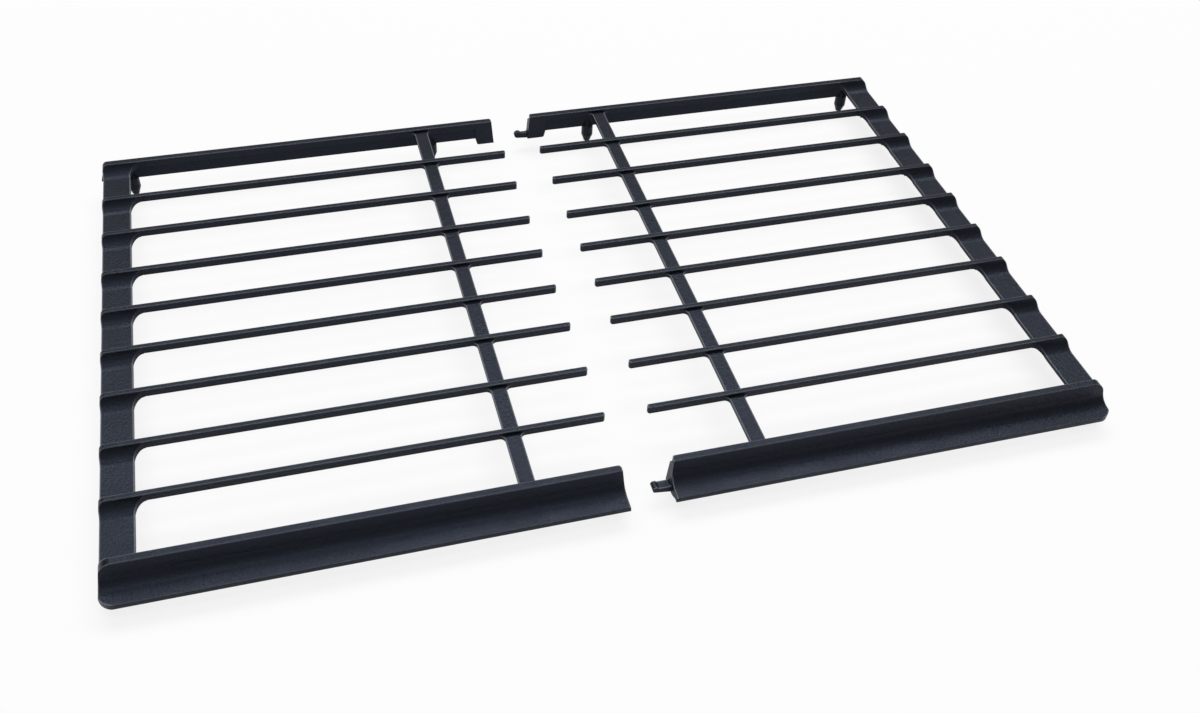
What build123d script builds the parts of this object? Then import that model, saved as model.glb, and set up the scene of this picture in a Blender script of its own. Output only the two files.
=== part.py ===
"""Cast-iron pan support for a gas hob: two castings that hook together at the middle.

Millimetres. +X to the right, +Y to the back of the hob, +Z up. The origin is on the hob's
surface, under the middle of the pair, and the legs stand at Z = 0.
"""

import os
from itertools import accumulate
from math import cos, radians, sin, sqrt, tan

from build123d import *

# The pair as it is laid out
half_length = 348.0  # outer edge of a casting to the free ends of its bars
halves_gap = 32.8  # between the free ends of the two castings
support_height = 34.0  # hob surface to the face that carries the pans

# Rails and bars: centre distances from the back rail to the front rail
line_pitches = (52.2, 47.9, 50.4, 45.8, 45.8, 45.8, 50.4, 47.9, 52.2)
rail_width = 6.0
bar_width = 4.5
bar_height = 6.0
edge_bevel = 0.5  # soft top edges of the bars and rails
bar_end_bevel = 1.2  # upright edges of a bar's free end

# Outer side strip: a plate that rises in a wave to the end of each bar
strip_width = 22.4
strip_drop = 8.5  # pan face down to the flats of the strip
strip_thickness = 3.0
cove_reach = 11.0  # hollow sweep from a bar's front edge down to the flat
riser_inset = 0.6  # hollow under the sweep, in behind the bar's front face
end_round = 6.2  # rounded outer end of each bar
end_crease = 0.3  # lifts that round so that it meets the pan face in a crease
window_back_round = 8.5
window_front_round = 2.5
edge_rib_depth = 6.0  # outer rib below the flats of the strip
edge_rib_width = 3.4
flare_angle = 20.0  # outer end of the back rail leans out below the flats
flare_depth = 18.0  # pan face down to where the flare ends
front_end_round = 9.0  # rounded outer end of the front rail
front_end_lean = 12.0  # that end leans out down to the lip
front_corner_round = 12.0
back_corner_round = 5.0

# Crossbar near the free ends
cross_centre = 279.6  # from the outer edge
cross_width = 11.6
cross_drop = 3.0
cross_thickness = 3.0
cross_back_round = 4.0

# Back rail: a plain wall under a bar
wall_depth = 17.2  # pan face down to the wall's lower edge
wall_recess = 2.2  # wall set back under the bar
wall_recess_draft = 1.2
back_draft = 1.6  # wall's rear face leans out

# Front rail: a leaning wall that sweeps into a shelf with a thick lip
front_lean = 11.0
front_wall_drop = 9.7
front_sweep = 9.6
shelf_slope = 5.0
lip_reach = 18.7  # pan face's front edge to the lip
lip_height = 4.5
lip_round = 1.0
lip_width = 4.0
shell_thickness = 4.0

# Solid blocks at the free ends of the rails, with the hooks and their sockets
rail_end_draft = 5.0  # free ends of the rails lean back above their lower edges
rail_end_round = 3.0  # rear corners of those ends, beside the pan face
hook_clearance = 0.5
closed_gap = 1.0  # left between the castings when they are hooked together
socket_wall = 3.8
back_block_depth = 23.6
block_draft = 1.6
block_bevel = 1.0  # lower edges of the blocks
front_block_depth = 25.2
front_block_width = 15.0
back_hook_length = 12.4
back_hook_width = 3.2
back_hook_height = 5.8
back_hook_lift = 0.9  # rise of the underside towards the hook's end
back_hook_knob = 1.7  # upturned end above the hook
back_hook_inset = 1.8  # behind the front face of the rail
front_hook_length = 13.5
front_hook_width = 7.0
front_hook_height = 5.6
front_hook_lift = 2.0
front_hook_knob = 1.2
front_hook_inset = 1.0  # behind the front edge of the pan face
hook_root_round = 2.4

# Legs: tapered pegs cast into the rails
leg_outer = 22.5  # from the outer edge
leg_inner = 288.6
leg_radius = 5.4
leg_sole_radius = 2.8
leg_root_radius = 0.5  # narrow top of a back leg's root
leg_root_rise = 8.0  # that root's height up the wall
leg_taper = 7.0  # height of the tapered foot
back_leg_inset = 0.6  # ahead of the back rail's centre
front_leg_inset = 5.6  # ahead of the front edge of the pan face
leg_lap = 3.4  # depth of the leg's root in the front rail

# Worked out from the sizes above
line_count = len(line_pitches) + 1
line_width = [rail_width] + [bar_width] * (line_count - 2) + [rail_width]
back_reach = rail_width / 2 + back_draft
front_reach = rail_width / 2 + lip_reach
back_line = (sum(line_pitches) + front_reach - back_reach) / 2
line_y = [back_line - run for run in accumulate((0.0, *line_pitches))]
top = support_height
flat = top - strip_drop
flat_under = flat - strip_thickness
free_x = -halves_gap / 2
outer_x = free_x - half_length
strip_x = outer_x + strip_width
cross_x = outer_x + cross_centre
flare_reach = (flare_depth - strip_drop) * tan(radians(flare_angle))
flare_x = outer_x - flare_reach
back_y = line_y[0] + back_reach
lip_y = line_y[-1] - front_reach
clear_of_all = 2 * support_height


def front_edge(line):
    """Y of the front face of a rail or bar, counted from the back."""
    return line_y[line] - line_width[line] / 2


def rear_edge(line):
    """Y of the rear face of a rail or bar, counted from the back."""
    return line_y[line] + line_width[line] / 2


def corner_web(corner, radius, way, lap):
    """Draws what lies between a square corner and a quarter round in it, lapping over its sides."""
    x, y = corner
    way_x, way_y = way
    lap_x, lap_y = x - way_x * lap[0], y - way_y * lap[1]
    far_x, far_y = x + way_x * radius, y + way_y * radius
    short = radius * (1 - sqrt(0.5))
    with BuildLine() as outline:
        Polyline((x, far_y), (lap_x, far_y), (lap_x, lap_y), (far_x, lap_y), (far_x, y))
        ThreePointArc((far_x, y), (x + way_x * short, y + way_y * short), (x, far_y))
    make_face(outline.edges())


# The wave of the side strip, as its section along the hob from back to front
sweep_radius = (cove_reach**2 + strip_drop**2) / (2 * strip_drop)
under_rise = sweep_radius - sqrt((sweep_radius + strip_thickness) ** 2 - cove_reach**2)
riser_top = flat + under_rise
wave_back = line_y[0]
wave_front = line_y[-1]
with BuildPart() as side_strip:
    with BuildSketch(Plane.YZ.offset(outer_x)) as wave:
        with BuildLine():
            pen = (wave_back, top)
            for line in range(line_count - 1):
                crest = (front_edge(line), top)
                foot = (front_edge(line) - cove_reach, flat)
                Line(pen, crest)
                TangentArc(foot, crest, tangent=(1, 0))
                pen = (rear_edge(line + 1), top)
                if line + 1 == line_count - 1:
                    pen = (wave_front, flat)
                    Line(foot, pen)
                else:
                    Polyline(foot, (rear_edge(line + 1), flat), pen)
            under = (wave_front, flat_under)
            Line(pen, under)
            for line in reversed(range(line_count - 1)):
                foot = (front_edge(line) - cove_reach, flat_under)
                riser = (front_edge(line), riser_top)
                Line(under, foot)
                TangentArc(foot, riser, tangent=(1, 0))
                if line == 0:
                    Polyline(riser, (wave_back, riser_top), (wave_back, top))
                else:
                    under = (front_edge(line) + riser_inset, flat_under)
                    Polyline(riser, (front_edge(line) + riser_inset, riser_top), under)
        make_face()
        crests = wave.vertices().group_by(Axis.Y)[-1].sort_by(Axis.X)[:-1]
        chamfer(crests, length=edge_bevel)
    extrude(amount=strip_width + window_back_round)
    with BuildSketch(Plane.XY.offset(flat_under)) as strip_plan:
        with Locations(((outer_x + strip_x) / 2, (wave_back + wave_front) / 2)):
            Rectangle(strip_width, wave_back - wave_front)
        for line in range(line_count - 1):
            back_corner = (strip_x, front_edge(line))
            corner_web(back_corner, window_back_round, (1, -1), (strip_width / 2, riser_inset / 2))
            front_corner = (strip_x, rear_edge(line + 1))
            corner_web(front_corner, window_front_round, (1, 1), (strip_width / 2, riser_inset))
    extrude(amount=top - flat_under, mode=Mode.INTERSECT)

# One bar, on the X axis, with its free end softened
with BuildPart() as bar:
    with BuildSketch(Plane.YZ.offset(outer_x)) as bar_section:
        with Locations((0, top - bar_height / 2)):
            Rectangle(bar_width, bar_height)
        chamfer(bar_section.vertices().group_by(Axis.Y)[-1], length=edge_bevel)
    extrude(amount=half_length)
    with BuildSketch(Plane.XY.offset(top)) as bar_plan:
        with Locations(((outer_x + free_x) / 2, 0)):
            Rectangle(half_length, bar_width)
        chamfer(bar_plan.vertices().group_by(Axis.X)[-1], length=bar_end_bevel)
    extrude(amount=-bar_height, mode=Mode.INTERSECT)


def rail_end(depth):
    """Plane of a rail's free end, over an end block that reaches down by that depth."""
    lean = radians(rail_end_draft)
    return Plane((free_x, 0, top - depth), x_dir=(0, 1, 0), z_dir=(cos(lean), 0, sin(lean)))


# Back rail: bar, recessed wall and the block at its free end
wall_z = top - wall_depth
back_hook_reach = back_hook_length - closed_gap + hook_clearance
back_block_length = back_hook_reach + socket_wall
with BuildPart() as back_rail:
    with BuildSketch(Plane.YZ.offset(flare_x)) as back_section:
        with BuildLine():
            Polyline(
                (rear_edge(0), top),
                (front_edge(0), top),
                (front_edge(0), top - bar_height),
                (front_edge(0) + wall_recess, top - bar_height),
                (front_edge(0) + wall_recess - wall_recess_draft, wall_z),
                (back_y, wall_z),
                close=True,
            )
        make_face()
        chamfer(back_section.vertices().group_by(Axis.Y)[-1], length=edge_bevel)
    extrude(amount=flare_reach + half_length)
    with BuildSketch(Plane.XZ.offset(-back_y)) as back_block:
        with BuildLine():
            Polyline(
                (free_x, top - bar_height / 2),
                (free_x - back_block_length - block_draft, top - bar_height / 2),
                (free_x - back_block_length - block_draft, wall_z),
                (free_x - back_block_length, top - back_block_depth),
                (free_x, top - back_block_depth),
                close=True,
            )
        make_face()
        chamfer(back_block.vertices().group_by(Axis.Y)[0].sort_by(Axis.X)[0], length=block_bevel)
    extrude(amount=back_y - front_edge(0))
    split(bisect_by=rail_end(back_block_depth), keep=Keep.BOTTOM)

# Front rail: leaning wall, sweep, shelf and lip over a hollow underside
front_top = front_edge(-1)
wall_foot = (front_top - front_wall_drop * tan(radians(front_lean)), top - front_wall_drop)
sweep = JernArc(
    start=wall_foot,
    tangent=(-tan(radians(front_lean)), -1),
    radius=front_sweep,
    arc_size=-(90 - front_lean - shelf_slope),
    mode=Mode.PRIVATE,
)
shelf_start = sweep @ 1
shelf_run = shelf_start.X - lip_y
lip_top = shelf_start.Y - shelf_run * tan(radians(shelf_slope))
lip_under = lip_top - lip_height
hollow_y = rear_edge(-1) - wall_recess
shelf_under = shelf_start.Y - shell_thickness
front_block_z = top - front_block_depth
front_hook_reach = front_hook_length - closed_gap + hook_clearance
front_block_length = front_hook_reach + socket_wall
with BuildPart() as front_rail:
    with BuildSketch(Plane.YZ.offset(flare_x)) as front_section:
        with BuildLine():
            Polyline(
                (lip_y + lip_width, lip_under),
                (lip_y, lip_under),
                (lip_y, lip_top),
                tuple(shelf_start)[:2],
            )
            add(sweep)
            Polyline(
                wall_foot,
                (front_top, top),
                (rear_edge(-1), top),
                (rear_edge(-1), top - bar_height),
                (hollow_y, top - bar_height),
                (hollow_y, top - front_wall_drop),
                (wall_foot[0] + shell_thickness, shelf_start.Y + shell_thickness / 2),
                (shelf_start.X + shell_thickness, shelf_under),
                (lip_y + lip_width, lip_under),
            )
        make_face()
        chamfer(front_section.vertices().group_by(Axis.Y)[-1], length=edge_bevel)
        lip_corners = front_section.vertices().group_by(Axis.X)[0]
        fillet(lip_corners, radius=lip_round)
    extrude(amount=flare_reach + half_length)
    with BuildSketch(Plane.YZ.offset(flare_x)) as front_solid:
        with BuildLine():
            Polyline(
                (rear_edge(-1) - edge_bevel, lip_under),
                (lip_y + lip_width, lip_under),
                (shelf_start.X, shelf_under),
                (wall_foot[0] + shell_thickness / 2, shelf_start.Y + shell_thickness / 2),
                ((wall_foot[0] + hollow_y) / 2, top - front_wall_drop),
                (front_top + edge_bevel, top - bar_height / 2),
                (rear_edge(-1) - edge_bevel, top - bar_height / 2),
                close=True,
            )
        make_face()
    extrude(amount=flare_reach + shell_thickness)
    with BuildSketch(Plane.YZ.offset(free_x - front_block_length)) as front_block:
        with BuildLine():
            Polyline(
                (rear_edge(-1), top - bar_height / 2),
                (rear_edge(-1), front_block_z),
                (rear_edge(-1) - front_block_width, front_block_z),
                (lip_y + lip_width, lip_under),
                (shelf_start.X, shelf_under),
                (wall_foot[0] + shell_thickness / 2, shelf_start.Y + shell_thickness / 2),
                ((wall_foot[0] + hollow_y) / 2, top - front_wall_drop),
                (front_top + edge_bevel, top - bar_height / 2),
                close=True,
            )
        make_face()
        chamfer(front_block.vertices().group_by(Axis.Y)[0], length=block_bevel)
    extrude(amount=front_block_length)
    split(bisect_by=rail_end(front_block_depth), keep=Keep.BOTTOM)
    # Outer end, seen from the front: a round that runs on into a lean
    with BuildSketch(Plane.XZ.offset(-clear_of_all - back_y)):
        with BuildLine():
            round_drop = front_end_round * (1 - sin(radians(front_end_lean)))
            lean_run = (top - round_drop - lip_under) * tan(radians(front_end_lean))
            round_x = flare_x + lean_run + front_end_round * cos(radians(front_end_lean))
            end_arc = JernArc(
                start=(round_x, top),
                tangent=(-1, 0),
                radius=front_end_round,
                arc_size=90 - front_end_lean,
            )
            Polyline(
                end_arc @ 1,
                (flare_x, lip_under),
                (flare_x, -clear_of_all),
                (0, -clear_of_all),
                (0, top),
                (round_x, top),
            )
        make_face()
    extrude(amount=2 * clear_of_all + back_y - lip_y, mode=Mode.INTERSECT)

# Back leg: its root narrows as it runs up the wall
with BuildPart() as back_leg:
    with BuildSketch(Plane.XZ):
        with BuildLine():
            Polyline(
                (0, 0),
                (leg_sole_radius, 0),
                (leg_radius, leg_taper),
                (leg_radius, wall_z),
                (leg_root_radius, wall_z + leg_root_rise),
                (0, wall_z + leg_root_rise),
                close=True,
            )
        make_face()
    revolve(axis=Axis.Z)

# Front leg: its root ends inside the shelf
with BuildPart() as front_leg:
    with BuildSketch(Plane.XZ):
        with BuildLine():
            Polyline(
                (0, 0),
                (leg_sole_radius, 0),
                (leg_radius, leg_taper),
                (leg_radius, shelf_under + leg_lap),
                (0, shelf_under + leg_lap),
                close=True,
            )
        make_face()
    revolve(axis=Axis.Z)

# The casting that both halves share, in the left half's place
with BuildPart() as casting:
    add(side_strip.part)
    add(back_rail.part)
    with Locations(*[(0, y, 0) for y in line_y[1:-1]]):
        add(bar.part)
    with BuildSketch(Plane.XY.offset(top - cross_drop)) as cross_plan:
        with Locations((cross_x, (wave_back + wave_front) / 2)):
            Rectangle(cross_width, wave_back - wave_front)
        for line in range(line_count - 1):
            for way in (-1, 1):
                side_x = cross_x + way * cross_width / 2
                web_lap = (cross_width / 4, riser_inset)
                corner_web((side_x, front_edge(line)), cross_back_round, (way, -1), web_lap)
    extrude(amount=-cross_thickness)
    with Locations((outer_x, (wave_back + wave_front) / 2, flat)):
        Box(
            edge_rib_width,
            wave_back - wave_front,
            edge_rib_depth,
            align=(Align.MIN, Align.CENTER, Align.MAX),
        )
    for leg_x in (outer_x + leg_outer, outer_x + leg_inner):
        with Locations((leg_x, line_y[0] - back_leg_inset, 0)):
            add(back_leg.part)
        with Locations((leg_x, front_top - front_leg_inset, 0)):
            add(front_leg.part)
    # Outer end: rounded bar ends, upright edge and the back rail's flare, seen from the front
    with BuildSketch(Plane.XZ.offset(-clear_of_all - back_y)):
        with BuildLine():
            bend = end_round * (1 - sqrt(0.5))
            Polyline((outer_x + end_round, top + clear_of_all), (outer_x + end_round, top + end_crease))
            ThreePointArc(
                (outer_x + end_round, top + end_crease),
                (outer_x + bend, top + end_crease - bend),
                (outer_x, top + end_crease - end_round),
            )
            Polyline(
                (outer_x, top + end_crease - end_round),
                (outer_x, flat),
                (flare_x, top - flare_depth),
                (flare_x, -clear_of_all),
                (0, -clear_of_all),
                (0, top + clear_of_all),
                (outer_x + end_round, top + clear_of_all),
            )
        make_face()
    extrude(amount=2 * clear_of_all + back_y - lip_y, mode=Mode.INTERSECT)
    add(front_rail.part)
    for line, depth in ((0, back_block_depth), (-1, front_block_depth)):
        rail_corner = (free_x - depth * tan(radians(rail_end_draft)), rear_edge(line))
        with BuildSketch(Plane.XY.offset(top)):
            corner_web(rail_corner, rail_end_round, (-1, -1), (back_reach, back_reach))
        extrude(amount=-bar_height, mode=Mode.SUBTRACT)
    with BuildSketch() as outline_plan:
        with Locations(((flare_x + free_x) / 2, (back_y + lip_y) / 2)):
            Rectangle(free_x - flare_x, back_y - lip_y)
        outer_corners = outline_plan.vertices().group_by(Axis.X)[0].sort_by(Axis.Y)
        fillet(outer_corners[0], radius=front_corner_round)
        outer_corners = outline_plan.vertices().group_by(Axis.Y)[-1].sort_by(Axis.X)
        fillet(outer_corners[0], radius=back_corner_round)
    extrude(amount=top + clear_of_all, mode=Mode.INTERSECT)

# Hooks of the right half and the sockets for them in the left half
back_hook_z = top - back_block_depth
back_hook_y = front_edge(0) + back_hook_inset + back_hook_width
front_hook_z = front_block_z
front_hook_y = front_top + front_hook_inset


def hook_section(length, under, height, lift, knob):
    """Draws a hook of the right half: a tapered tongue with a round, upturned end and a root fillet."""
    knob_radius = (height - lift + knob) / 2
    knob_x = -free_x - length + knob_radius
    root_x = -free_x + hook_root_round
    with BuildLine() as tongue:
        Polyline(
            (root_x, under),
            (knob_x, under + lift),
            (knob_x, under + height),
            (root_x, under + height),
            close=True,
        )
    make_face(tongue.edges())
    with Locations((knob_x, under + lift + knob_radius)):
        Circle(knob_radius)
    root_corner = (-free_x + height * tan(radians(rail_end_draft)), under + height)
    corner_web(root_corner, hook_root_round, (-1, 1), (hook_root_round, height / 2))


def socket_section(reach, under, height, lift, knob):
    """Draws the left half's socket for a hook, open below and at the end, deeper for the knob."""
    floor = under - clear_of_all
    knob_run = height - lift + knob + 2 * hook_clearance
    with Locations((free_x - reach / 2, (floor + under + height + hook_clearance) / 2)):
        Rectangle(reach, under + height + hook_clearance - floor)
    with Locations((free_x - reach + knob_run / 2, (floor + under + height + knob + hook_clearance) / 2)):
        Rectangle(knob_run, under + height + knob + hook_clearance - floor)


with BuildPart() as right_support:
    mirror(casting.part, about=Plane.YZ)
    with BuildSketch(Plane.XZ.offset(-back_hook_y)):
        hook_section(back_hook_length, back_hook_z, back_hook_height, back_hook_lift, back_hook_knob)
    extrude(amount=back_hook_width)
    with BuildSketch(Plane.XZ.offset(-front_hook_y)):
        hook_section(front_hook_length, front_hook_z, front_hook_height, front_hook_lift, front_hook_knob)
    extrude(amount=front_hook_width)

with BuildPart() as left_support:
    add(casting.part)
    with BuildSketch(Plane.XZ.offset(-back_hook_y - hook_clearance)):
        socket_section(back_hook_reach, back_hook_z, back_hook_height, back_hook_lift, back_hook_knob)
    extrude(amount=back_hook_width + 2 * hook_clearance, mode=Mode.SUBTRACT)
    with BuildSketch(Plane.XZ.offset(-front_hook_y - hook_clearance)):
        socket_section(front_hook_reach, front_hook_z, front_hook_height, front_hook_lift, front_hook_knob)
    extrude(amount=front_hook_width + 2 * hook_clearance, mode=Mode.SUBTRACT)

os.makedirs("parts", exist_ok=True)
left_support.part.label = "left_support"
export_step(left_support.part, "parts/left_support.step")
right_support.part.label = "right_support"
export_step(right_support.part, "parts/right_support.step")
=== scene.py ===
"""Studio scene of a two-part cast-iron hob pan support in satin black enamel.

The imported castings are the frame. This script gives them their enamel, and adds the floor, the lamps
and the camera. Lengths are in metres, in the castings' own frame: +X to the right, +Y to the back of
the hob, +Z up.
"""

import logging
from dataclasses import dataclass, field
from enum import Enum
from math import radians

import bmesh
import bpy
from mathutils import Matrix, Vector


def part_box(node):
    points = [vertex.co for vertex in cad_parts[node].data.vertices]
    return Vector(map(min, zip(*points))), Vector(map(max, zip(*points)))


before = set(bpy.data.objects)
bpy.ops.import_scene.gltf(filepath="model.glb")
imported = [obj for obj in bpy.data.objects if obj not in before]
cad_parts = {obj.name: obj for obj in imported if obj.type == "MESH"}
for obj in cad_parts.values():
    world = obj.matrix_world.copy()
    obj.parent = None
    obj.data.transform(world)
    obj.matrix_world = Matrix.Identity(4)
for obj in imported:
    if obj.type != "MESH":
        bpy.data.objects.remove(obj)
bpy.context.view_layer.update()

MM_IN_METRE = 1000.0
log = logging.getLogger("pan_support")

Rgb = tuple[float, float, float]
Point = tuple[float, float, float]
Span = tuple[float, float]
Tree = bpy.types.NodeTree
Node = bpy.types.Node
Socket = bpy.types.NodeSocket

UNIT_SPAN: Span = (0.0, 1.0)
NOISE_SPAN: Span = (0.3, 0.7)  # where most of a noise texture's values lie


class Half(Enum):
    """The two castings, by the names of their CAD nodes."""

    LEFT = "left_support"
    RIGHT = "right_support"


class Effect(Enum):
    """Surface effects that both castings' enamel shares, as shader node groups."""

    GRAIN = "enamel_grain"
    MOTTLE = "enamel_mottle"


Effects = dict[Effect, Tree]


def rgba(colour: Rgb) -> tuple[float, float, float, float]:
    """Gives a colour its alpha of one."""
    return (*colour, 1.0)


def link(tree: Tree, source: Socket, target: Socket) -> None:
    """Joins an output socket to an input socket of the same tree."""
    tree.links.new(source, target)


def new_group(effect: Effect, outputs: tuple[str, ...]) -> tuple[Tree, Socket, Node]:
    """Starts a shader node group that reads a place on the surface.

    Args:
        effect: The effect that the group makes.
        outputs: Names of the values that the group puts out.

    Returns:
        The group's tree, the socket with the place and the group's output node.
    """
    tree = bpy.data.node_groups.new(effect.value, "ShaderNodeTree")
    tree.interface.new_socket("Vector", in_out="INPUT", socket_type="NodeSocketVector")
    for name in outputs:
        tree.interface.new_socket(name, in_out="OUTPUT", socket_type="NodeSocketFloat")
    source = tree.nodes.new("NodeGroupInput")
    return tree, source.outputs["Vector"], tree.nodes.new("NodeGroupOutput")


def add_group(tree: Tree, group: Tree, place: Socket) -> Node:
    """Places a shared effect in a material.

    Args:
        tree: The material's tree.
        group: The effect's node group.
        place: Socket with the place on the surface.

    Returns:
        The node that holds the group.
    """
    node = tree.nodes.new("ShaderNodeGroup")
    node.node_tree = group
    link(tree, place, node.inputs["Vector"])
    return node


def spread(tree: Tree, value: Socket, source: Span, target: Span) -> Socket:
    """Maps a value smoothly from one span to another.

    Args:
        tree: Tree that gets the node.
        value: The value to map.
        source: Span that the value covers. What lies outside is clamped.
        target: Span that the result covers.

    Returns:
        The mapped value.
    """
    node = tree.nodes.new("ShaderNodeMapRange")
    node.interpolation_type = "SMOOTHSTEP"
    link(tree, value, node.inputs["Value"])
    node.inputs["From Min"].default_value, node.inputs["From Max"].default_value = source
    node.inputs["To Min"].default_value, node.inputs["To Max"].default_value = target
    return node.outputs["Result"]


def blend(tree: Tree, first: Socket, second: Socket, share: float) -> Socket:
    """Blends two values.

    Args:
        tree: Tree that gets the node.
        first: The first value.
        second: The second value.
        share: Share of the second value.

    Returns:
        The blended value.
    """
    node = tree.nodes.new("ShaderNodeMix")
    node.inputs["Factor"].default_value = share
    link(tree, first, node.inputs["A"])
    link(tree, second, node.inputs["B"])
    return node.outputs["Result"]


def add_tint(tree: Tree, share: Socket, tint: Rgb) -> Node:
    """Adds a mix of a first colour, still to be set, with a tint.

    Args:
        tree: Tree that gets the node.
        share: Share of the tint.
        tint: The second colour of the mix.

    Returns:
        The mix node, whose first colour is its input A.
    """
    node = tree.nodes.new("ShaderNodeMix")
    node.data_type = "RGBA"
    node.inputs["B"].default_value = rgba(tint)
    link(tree, share, node.inputs["Factor"])
    return node


@dataclass(frozen=True)
class Ripple:
    """A noise over the surface."""

    waves: float  # in a metre
    detail: float  # finer layers on top of the first
    roughness: float = 0.5  # strength of those layers

    def add(self, tree: Tree, place: Socket) -> Socket:
        """Adds the noise to a tree.

        Args:
            tree: Tree that gets the texture.
            place: Socket with the place on the surface.

        Returns:
            The noise's value.
        """
        node = tree.nodes.new("ShaderNodeTexNoise")
        node.inputs["Scale"].default_value = self.waves
        node.inputs["Detail"].default_value = self.detail
        node.inputs["Roughness"].default_value = self.roughness
        link(tree, place, node.inputs["Vector"])
        return node.outputs["Fac"]


@dataclass(frozen=True)
class EnamelGrain:
    """Relief of a fired enamel: fine sand-like grain on a soft orange peel."""

    grain: Ripple = Ripple(800.0, 2.0, 0.6)
    peel: Ripple = Ripple(430.0, 1.0)
    peel_share: float = 0.5

    def build(self) -> Tree:
        """Builds the node group.

        Returns:
            The group's tree, with a height from 0 to 1 for a Bump node.
        """
        tree, place, sink = new_group(Effect.GRAIN, ("Height",))
        fine = self.grain.add(tree, place)
        peel = self.peel.add(tree, place)
        link(tree, blend(tree, fine, peel, self.peel_share), sink.inputs["Height"])
        return tree


@dataclass(frozen=True)
class EnamelMottle:
    """Slow change of tone and gloss over a fired enamel, with fine speckles."""

    cloud: Ripple = Ripple(34.0, 3.0, 0.55)
    speckle: Ripple = Ripple(950.0, 1.0)
    speckle_share: float = 0.55
    roughness: Span = (0.34, 0.43)

    def build(self) -> Tree:
        """Builds the node group.

        Returns:
            The group's tree, with a tone from 0, deep, to 1, pale, and a roughness.
        """
        tree, place, sink = new_group(Effect.MOTTLE, ("Tone", "Roughness"))
        cloud = self.cloud.add(tree, place)
        speckle = self.speckle.add(tree, place)
        slow = spread(tree, cloud, NOISE_SPAN, UNIT_SPAN)
        fine = spread(tree, speckle, NOISE_SPAN, UNIT_SPAN)
        link(tree, blend(tree, slow, fine, self.speckle_share), sink.inputs["Tone"])
        link(tree, spread(tree, cloud, NOISE_SPAN, self.roughness), sink.inputs["Roughness"])
        return tree


@dataclass(frozen=True)
class BlackEnamel:
    """Satin black enamel on cast iron, with softened edges, a fine grain and a painted highlight along
    its upper edges.
    """

    deep: Rgb = (0.0028, 0.0032, 0.0040)
    pale: Rgb = (0.0080, 0.0089, 0.0110)
    specular: float = 0.305
    gloss_tint: Rgb = (0.56, 0.68, 1.0)  # cool cast of the enamel's gloss
    edge_highlight_colour: Rgb = (0.190, 0.203, 0.225)  # painted highlight: paler colour laid along the upper convex edges
    edge_highlight_share: float = 0.85
    highlight_reach: float = 0.0012
    highlight_open: Span = (0.96, 0.66)  # share of inward rays that meet no face, on a flat and at an edge
    highlight_facing: Span = (0.3, 0.7)  # rise of the normal at which the painted highlight starts and is full
    highlight_samples: int = 8
    edge_radius: float = 0.0006
    round_samples: int = 6
    grain_depth: float = 0.0005
    grain_strength: float = 1.0

    def build(self, name: str, groups: Effects) -> bpy.types.Material:
        """Builds the material.

        Args:
            name: Name of the material.
            groups: The shared effects' node groups.

        Returns:
            The finished material.
        """
        material = bpy.data.materials.new(name)
        material.use_nodes = True
        tree = material.node_tree
        shader = tree.nodes["Principled BSDF"]
        shader.inputs["Specular IOR Level"].default_value = self.specular
        shader.inputs["Specular Tint"].default_value = rgba(self.gloss_tint)
        place = tree.nodes.new("ShaderNodeTexCoord").outputs["Object"]

        mottle = add_group(tree, groups[Effect.MOTTLE], place)
        enamel = add_tint(tree, mottle.outputs["Tone"], self.pale)
        enamel.inputs["A"].default_value = rgba(self.deep)
        # painted highlight: a paler colour laid along the upper convex edges
        highlighted = add_tint(tree, self.edge_highlight_mask(tree), self.edge_highlight_colour)
        link(tree, enamel.outputs["Result"], highlighted.inputs["A"])
        link(tree, highlighted.outputs["Result"], shader.inputs["Base Color"])
        link(tree, mottle.outputs["Roughness"], shader.inputs["Roughness"])

        grain = add_group(tree, groups[Effect.GRAIN], place)
        link(tree, self.relief(tree, grain.outputs["Height"]), shader.inputs["Normal"])
        return material

    def edge_highlight_mask(self, tree: Tree) -> Socket:
        """Marks the upper convex edges, where a paler colour is painted as a highlight.

        Args:
            tree: The material's tree.

        Returns:
            The painted highlight's mask, from 0 on a flat to its full share along an edge.
        """
        depth = tree.nodes.new("ShaderNodeAmbientOcclusion")
        depth.inside = True
        depth.only_local = True
        depth.samples = self.highlight_samples
        depth.inputs["Distance"].default_value = self.highlight_reach
        convex_share = spread(tree, depth.outputs["AO"], self.highlight_open, (0.0, self.edge_highlight_share))
        surface = tree.nodes.new("ShaderNodeNewGeometry")
        facing = tree.nodes.new("ShaderNodeSeparateXYZ")
        link(tree, surface.outputs["Normal"], facing.inputs["Vector"])
        both = tree.nodes.new("ShaderNodeMath")
        both.operation = "MULTIPLY"
        link(tree, convex_share, both.inputs[0])
        link(tree, spread(tree, facing.outputs["Z"], self.highlight_facing, UNIT_SPAN), both.inputs[1])
        return both.outputs["Value"]

    def relief(self, tree: Tree, height: Socket) -> Socket:
        """Softens the edges and lays the grain on top.

        Args:
            tree: The material's tree.
            height: Height of the grain, from 0 to 1.

        Returns:
            The surface's normal.
        """
        edges = tree.nodes.new("ShaderNodeBevel")
        edges.samples = self.round_samples
        edges.inputs["Radius"].default_value = self.edge_radius
        bump = tree.nodes.new("ShaderNodeBump")
        bump.inputs["Strength"].default_value = self.grain_strength
        bump.inputs["Distance"].default_value = self.grain_depth
        link(tree, height, bump.inputs["Height"])
        link(tree, edges.outputs["Normal"], bump.inputs["Normal"])
        return bump.outputs["Normal"]


@dataclass
class Casting:
    """One iron casting of the pan support."""

    half: Half
    finish: BlackEnamel

    def dress(self, groups: Effects) -> None:
        """Gives the casting's CAD node its enamel.

        Args:
            groups: The shared effects' node groups.
        """
        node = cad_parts[self.half.value]
        material = self.finish.build(f"{self.half.value}_enamel", groups)
        for slot in node.material_slots:
            slot.material = material
        low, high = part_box(self.half.value)
        length = (high.x - low.x) * MM_IN_METRE
        log.info("%s: %.0f mm long, dressed in %s", node.name, length, material.name)


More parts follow.
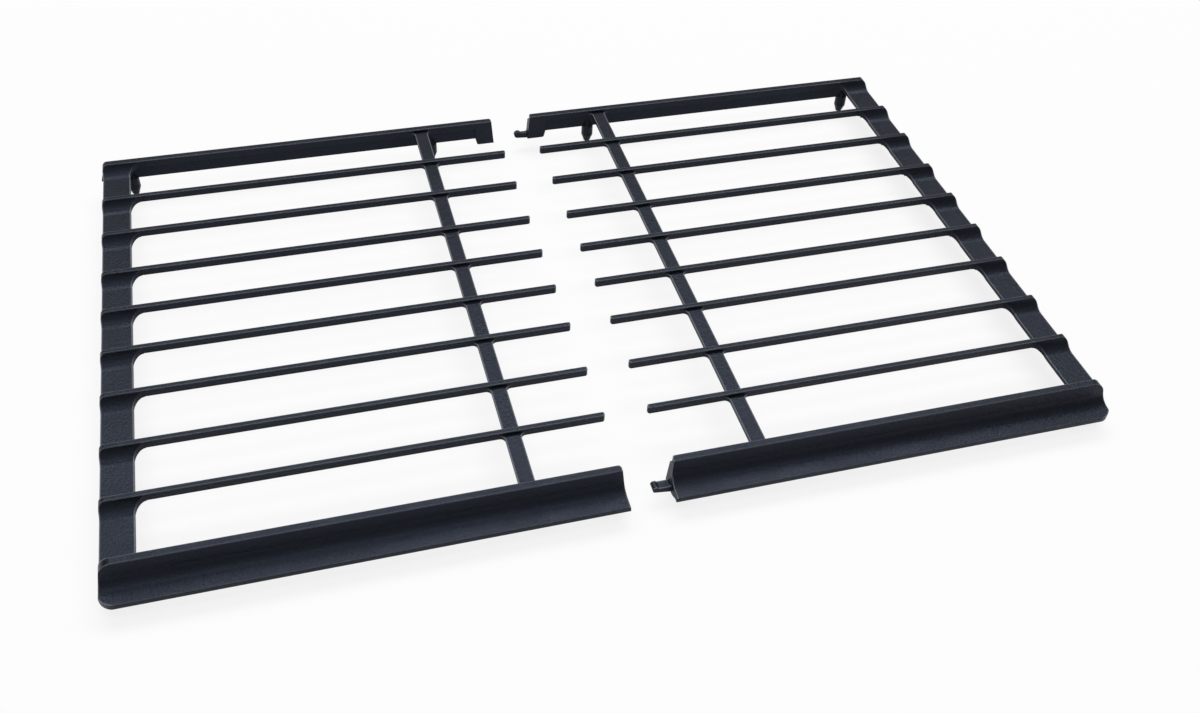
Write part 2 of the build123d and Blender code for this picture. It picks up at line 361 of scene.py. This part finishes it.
@dataclass(frozen=True)
class Softbox:
    """A rectangular lamp that points at the support."""

    name: str
    place: Point
    size: Span
    watts: float
    aim: Point = (0.0, 0.0, 0.0)

    def build(self) -> bpy.types.Object:
        """Adds the lamp to the scene.

        Returns:
            The lamp's object.
        """
        lamp = bpy.data.lights.new(self.name, "AREA")
        lamp.shape = "RECTANGLE"
        lamp.size, lamp.size_y = self.size
        lamp.energy = self.watts
        box = bpy.data.objects.new(self.name, lamp)
        box.location = self.place
        beam = Vector(self.aim) - Vector(self.place)
        box.rotation_euler = beam.to_track_quat("-Z", "Y").to_euler()
        bpy.context.scene.collection.objects.link(box)
        return box


@dataclass
class Studio:
    """White floor, soft lamps and an even surround."""

    floor_size: float = 60.0
    floor_colour: Rgb = (0.88, 0.88, 0.88)
    floor_white: float = 0.82  # share of plain white that the camera sees
    floor_gloss: float = 0.25  # share of it that gloss and glass see
    surround: float = 0.19
    surround_colour: Rgb = (1.0, 1.0, 1.0)
    lamps: list[Softbox] = field(
        default_factory=lambda: [
            Softbox("back_softbox", place=(0.70, 2.82, 5.25), size=(7.2, 2.6), watts=262.0),
            Softbox("side_softbox", place=(1.81, 3.41, 4.60), size=(2.2, 1.6), watts=17.0),
            Softbox("strip_softbox", place=(-0.28, -1.32, 5.85), size=(6.0, 2.0), watts=86.0),
            Softbox("front_softbox", place=(-0.77, -4.39, 4.01), size=(8.0, 5.4), watts=65.0),
        ]
    )

    def build(self) -> None:
        """Builds the floor, the surround and the lamps."""
        floor = self.build_floor()
        log.info("%s: %.0f m wide", floor.name, self.floor_size)
        self.build_surround()
        for lamp in self.lamps:
            log.info("%s: %.0f W", lamp.build().name, lamp.watts)

    def build_floor(self) -> bpy.types.Object:
        """Builds the floor that the support stands on.

        Returns:
            The floor's object.
        """
        shape = bmesh.new()
        bmesh.ops.create_grid(shape, x_segments=1, y_segments=1, size=self.floor_size / 2)
        mesh = bpy.data.meshes.new("floor")
        shape.to_mesh(mesh)
        shape.free()
        floor = bpy.data.objects.new("floor", mesh)
        bpy.context.scene.collection.objects.link(floor)
        mesh.materials.append(self.floor_finish())
        return floor

    def floor_finish(self) -> bpy.types.Material:
        """Makes the floor's matt white, nearer to plain white where the camera sees it.

        Returns:
            The finished material.
        """
        material = bpy.data.materials.new("floor_white")
        material.use_nodes = True
        tree = material.node_tree
        matt = tree.nodes["Principled BSDF"]
        matt.inputs["Base Color"].default_value = rgba(self.floor_colour)
        matt.inputs["Roughness"].default_value = 1.0
        matt.inputs["Specular IOR Level"].default_value = 0.0
        white = tree.nodes.new("ShaderNodeEmission")
        white.inputs["Strength"].default_value = 1.0
        mix = tree.nodes.new("ShaderNodeMixShader")
        link(tree, self.white_share(tree), mix.inputs["Fac"])
        link(tree, matt.outputs["BSDF"], mix.inputs[1])
        link(tree, white.outputs["Emission"], mix.inputs[2])
        link(tree, mix.outputs["Shader"], tree.nodes["Material Output"].inputs["Surface"])
        return material

    def white_share(self, tree: Tree) -> Socket:
        """Adds up the share of plain white that a ray sees on the floor, by its kind.

        Args:
            tree: The floor material's tree.

        Returns:
            The share.
        """
        shares = {
            "Is Camera Ray": self.floor_white,
            "Is Glossy Ray": self.floor_gloss,
            "Is Transmission Ray": self.floor_gloss,
        }
        rays = tree.nodes.new("ShaderNodeLightPath")
        total = None
        for kind, share in shares.items():
            part = tree.nodes.new("ShaderNodeMath")
            part.operation = "MULTIPLY_ADD"
            part.inputs[1].default_value = share
            part.inputs[2].default_value = 0.0
            link(tree, rays.outputs[kind], part.inputs[0])
            if total is not None:
                link(tree, total, part.inputs[2])
            total = part.outputs["Value"]
        return total

    def build_surround(self) -> None:
        """Lights the scene from all round by an even dim world."""
        world = bpy.data.worlds.new("surround")
        world.use_nodes = True
        background = world.node_tree.nodes["Background"]
        background.inputs["Color"].default_value = rgba(self.surround_colour)
        background.inputs["Strength"].default_value = self.surround
        bpy.context.scene.world = world


@dataclass(frozen=True)
class PhotoCamera:
    """Camera at the photograph's place and angle, for a frame of 1200 by 713."""

    place: Point = (-0.21316, -0.73591, 0.68168)
    heading: float = 18.254  # degrees to the right of +Y
    tilt: float = -44.086  # degrees above the horizon
    roll: float = 3.846  # degrees
    lens: float = 36.940  # millimetres, as is the sensor
    sensor: float = 36.0
    nearest: float = 0.01

    def build(self) -> bpy.types.Object:
        """Adds the camera to the scene and makes it the scene's own.

        Returns:
            The camera's object.
        """
        optics = bpy.data.cameras.new("photo_camera")
        optics.lens = self.lens
        optics.sensor_width = self.sensor
        optics.clip_start = self.nearest
        camera = bpy.data.objects.new("photo_camera", optics)
        turn = Matrix.Rotation(radians(-self.heading), 4, "Z")
        turn = turn @ Matrix.Rotation(radians(90.0 + self.tilt), 4, "X")
        turn = turn @ Matrix.Rotation(radians(self.roll), 4, "Z")
        camera.matrix_world = Matrix.Translation(self.place) @ turn
        bpy.context.scene.collection.objects.link(camera)
        bpy.context.scene.camera = camera
        return camera


def main() -> None:
    """Dresses the castings and sets up the studio and the camera."""
    logging.basicConfig(level=logging.INFO, format="%(name)s: %(message)s")
    bpy.context.scene.view_settings.view_transform = "Standard"
    groups = {Effect.GRAIN: EnamelGrain().build(), Effect.MOTTLE: EnamelMottle().build()}
    for half in Half:
        Casting(half, BlackEnamel()).dress(groups)
    Studio().build()
    camera = PhotoCamera().build()
    log.info("%s: lens of %.1f mm", camera.name, camera.data.lens)


if __name__ == "__main__":
    main()
